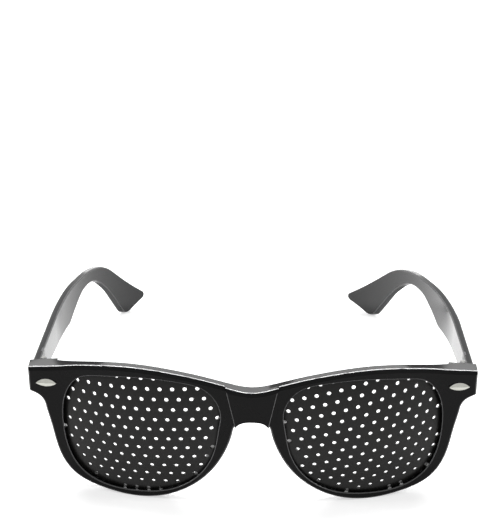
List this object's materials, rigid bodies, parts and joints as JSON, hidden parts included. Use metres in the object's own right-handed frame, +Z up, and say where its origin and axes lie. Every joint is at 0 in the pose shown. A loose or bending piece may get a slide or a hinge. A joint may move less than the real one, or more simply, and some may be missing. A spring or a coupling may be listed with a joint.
{
  "type": "pinhole glasses",
  "caption": "Folding pinhole glasses: a bowed black plastic front with two domed, perforated opaque lenses, a raised bridge, and hinged temples with dropped tips.",
  "frame": {"origin": "bottom centre of the open glasses' bounding box, on the surface that they stand on", "axes": "+Z up, +Y from the front towards the temple tips, +X towards the wearer's left, so the front faces -Y"},
  "size_m": [0.1436, 0.146, 0.048],
  "materials": {
    "frame_plastic": "high gloss",
    "lens_plastic": "satin",
    "temple_plastic": "gloss",
    "rivet_metal": "polished",
    "hinge_steel": "satin",
    "screw_steel": "satin"
  },
  "bodies": {
    "front": {"frame_front": "frame_plastic", "lens_left": "lens_plastic", "lens_right": "lens_plastic", "rivet_left": "rivet_metal", "rivet_right": "rivet_metal", "front_hinge_left": "hinge_steel", "front_hinge_right": "hinge_steel", "hinge_screw_left": "screw_steel", "hinge_screw_right": "screw_steel"},
    "left_temple": {"temple_left": "temple_plastic", "temple_hinge_left": "hinge_steel"},
    "right_temple": {"temple_right": "temple_plastic", "temple_hinge_right": "hinge_steel"}
  },
  "joints": [
    {"name": "temple_left_fold", "type": "hinge", "parent": "front", "child": "left_temple", "pos_m": [0.0678, -0.05378, 0.0407], "axis": [0, 0, 1], "range_deg": [0, 76]},
    {"name": "temple_right_fold", "type": "hinge", "parent": "front", "child": "right_temple", "pos_m": [-0.0678, -0.05378, 0.0407], "axis": [0, 0, -1], "range_deg": [0, 62]}
  ]
}
